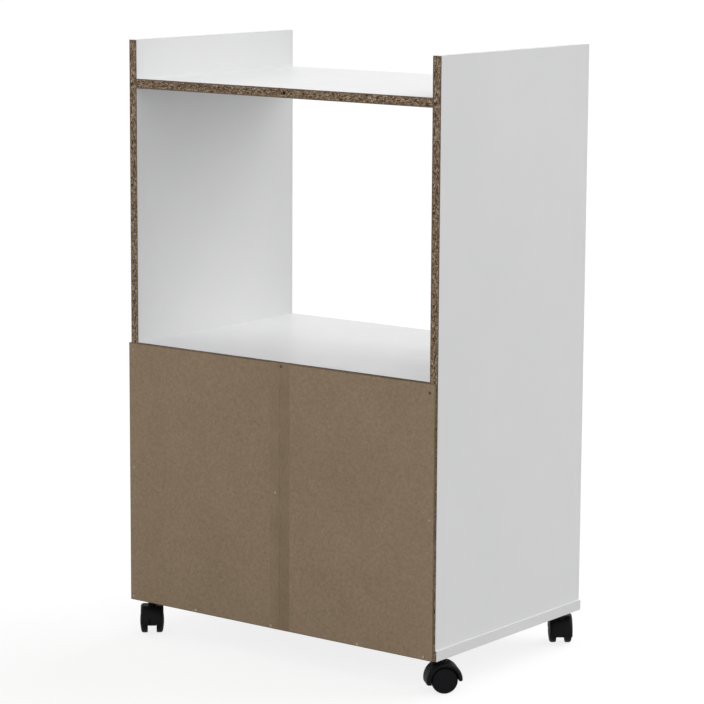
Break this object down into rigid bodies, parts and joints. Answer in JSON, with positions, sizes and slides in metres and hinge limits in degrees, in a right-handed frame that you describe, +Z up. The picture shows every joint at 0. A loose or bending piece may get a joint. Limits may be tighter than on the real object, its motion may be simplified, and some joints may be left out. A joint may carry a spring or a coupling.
{
  "type": "microwave cart",
  "caption": "Rolling kitchen cart of white melamine board: recessed top tray, open microwave bay, and a cabinet with inset doors, an inner shelf and a hardboard back, on twin-wheel casters.",
  "frame": {"origin": "middle of the side panels' footprint, on the floor, within 4 mm of the bounding box's bottom centre", "axes": "+Z up, -Y to the front with the doors, +Y to the hardboard back, +X to the right-hand side seen from the front"},
  "size_m": [0.6398, 0.4225, 0.946],
  "materials": {
    "melamine_board": "particleboard with white melamine faces, raw on the rear edges",
    "edge_band": "white edge band, satin",
    "hardboard": "bare brown hardboard, matt",
    "paper_tape": "brown paper tape, matt",
    "zinc_plated_steel": "zinc plated",
    "satin_nickel": "satin nickel plated",
    "beech": "fluted beech dowel, raw",
    "white_plastic": "moulded, satin",
    "ferrite": "sintered ferrite, matt",
    "black_nylon": "moulded black nylon, satin"
  },
  "bodies": {
    "cabinet": {"side_panel_left": "melamine_board", "side_panel_right": "melamine_board", "top_shelf": "melamine_board", "microwave_shelf": "melamine_board", "cabinet_shelf": "melamine_board", "base_board": "melamine_board", "side_edge_bands": "edge_band", "shelf_edge_bands": "edge_band", "base_edge_bands": "edge_band", "back_leaf_left": "hardboard", "back_leaf_right": "hardboard", "back_tape": "paper_tape", "back_nails": "zinc_plated_steel", "cam_locks": "zinc_plated_steel", "cam_bolts": "zinc_plated_steel", "base_screws": "zinc_plated_steel", "shelf_pins": "zinc_plated_steel", "catch_screws": "zinc_plated_steel", "caster_stems": "zinc_plated_steel", "stem_grip_rings": "zinc_plated_steel", "dowels": "beech", "frame_hinge_leaves": "satin_nickel", "hinge_pins": "satin_nickel", "frame_hinge_screws": "satin_nickel", "catch_housings": "white_plastic", "catch_magnets": "ferrite", "caster_sockets": "black_nylon"},
    "door_left": {"door_left": "melamine_board", "door_left_edge_bands": "edge_band", "door_left_hinge_leaves": "satin_nickel", "door_left_hinge_screws": "satin_nickel", "knob_left": "satin_nickel", "knob_screw_left": "zinc_plated_steel", "strike_plate_left": "zinc_plated_steel", "strike_screw_left": "zinc_plated_steel"},
    "door_right": {"door_right": "melamine_board", "door_right_edge_bands": "edge_band", "door_right_hinge_leaves": "satin_nickel", "door_right_hinge_screws": "satin_nickel", "knob_right": "satin_nickel", "knob_screw_right": "zinc_plated_steel", "strike_plate_right": "zinc_plated_steel", "strike_screw_right": "zinc_plated_steel"},
    "caster_front_left": {"hood_front_left": "black_nylon", "axle_front_left": "zinc_plated_steel"},
    "wheel_front_left_a": {"wheel_front_left_a": "black_nylon"},
    "wheel_front_left_b": {"wheel_front_left_b": "black_nylon"},
    "caster_front_right": {"hood_front_right": "black_nylon", "axle_front_right": "zinc_plated_steel"},
    "wheel_front_right_a": {"wheel_front_right_a": "black_nylon"},
    "wheel_front_right_b": {"wheel_front_right_b": "black_nylon"},
    "caster_rear_left": {"hood_rear_left": "black_nylon", "axle_rear_left": "zinc_plated_steel"},
    "wheel_rear_left_a": {"wheel_rear_left_a": "black_nylon"},
    "wheel_rear_left_b": {"wheel_rear_left_b": "black_nylon"},
    "caster_rear_right": {"hood_rear_right": "black_nylon", "axle_rear_right": "zinc_plated_steel"},
    "wheel_rear_right_a": {"wheel_rear_right_a": "black_nylon"},
    "wheel_rear_right_b": {"wheel_rear_right_b": "black_nylon"}
  },
  "joints": [
    {"name": "door_left_hinge", "type": "hinge", "parent": "cabinet", "child": "door_left", "pos_m": [-0.2816, -0.19695, 0.2635], "axis": [0, 0, -1], "range_deg": [0, 180]},
    {"name": "door_right_hinge", "type": "hinge", "parent": "cabinet", "child": "door_right", "pos_m": [0.2816, -0.19695, 0.2635], "axis": [0, 0, 1], "range_deg": [0, 180]},
    {"name": "swivel_front_left", "type": "hinge", "parent": "cabinet", "child": "caster_front_left", "pos_m": [-0.28, -0.171, 0.054], "axis": [0, 0, 1], "continuous": true},
    {"name": "spin_front_left_a", "type": "hinge", "parent": "caster_front_left", "child": "wheel_front_left_a", "pos_m": [-0.27261, -0.18046, 0.02], "axis": [0.788, 0.6157, 0], "continuous": true},
    {"name": "spin_front_left_b", "type": "hinge", "parent": "caster_front_left", "child": "wheel_front_left_b", "pos_m": [-0.27261, -0.18046, 0.02], "axis": [0.788, 0.6157, 0], "continuous": true},
    {"name": "swivel_front_right", "type": "hinge", "parent": "cabinet", "child": "caster_front_right", "pos_m": [0.28, -0.171, 0.054], "axis": [0, 0, 1], "continuous": true},
    {"name": "spin_front_right_a", "type": "hinge", "parent": "caster_front_right", "child": "wheel_front_right_a", "pos_m": [0.29128, -0.1669, 0.02], "axis": [-0.342, 0.9397, 0], "continuous": true},
    {"name": "spin_front_right_b", "type": "hinge", "parent": "caster_front_right", "child": "wheel_front_right_b", "pos_m": [0.29128, -0.1669, 0.02], "axis": [-0.342, 0.9397, 0], "continuous": true},
    {"name": "swivel_rear_left", "type": "hinge", "parent": "cabinet", "child": "caster_rear_left", "pos_m": [-0.28, 0.169, 0.054], "axis": [0, 0, 1], "continuous": true},
    {"name": "spin_rear_left_a", "type": "hinge", "parent": "caster_rear_left", "child": "wheel_rear_left_a", "pos_m": [-0.28818, 0.16022, 0.02], "axis": [0.7314, -0.682, 0], "continuous": true},
    {"name": "spin_rear_left_b", "type": "hinge", "parent": "caster_rear_left", "child": "wheel_rear_left_b", "pos_m": [-0.28818, 0.16022, 0.02], "axis": [0.7314, -0.682, 0], "continuous": true},
    {"name": "swivel_rear_right", "type": "hinge", "parent": "cabinet", "child": "caster_rear_right", "pos_m": [0.28, 0.169, 0.054], "axis": [0, 0, 1], "continuous": true},
    {"name": "spin_rear_right_a", "type": "hinge", "parent": "caster_rear_right", "child": "wheel_rear_right_a", "pos_m": [0.27213, 0.17806, 0.02], "axis": [-0.7547, -0.6561, 0], "continuous": true},
    {"name": "spin_rear_right_b", "type": "hinge", "parent": "caster_rear_right", "child": "wheel_rear_right_b", "pos_m": [0.27213, 0.17806, 0.02], "axis": [-0.7547, -0.6561, 0], "continuous": true}
  ]
}
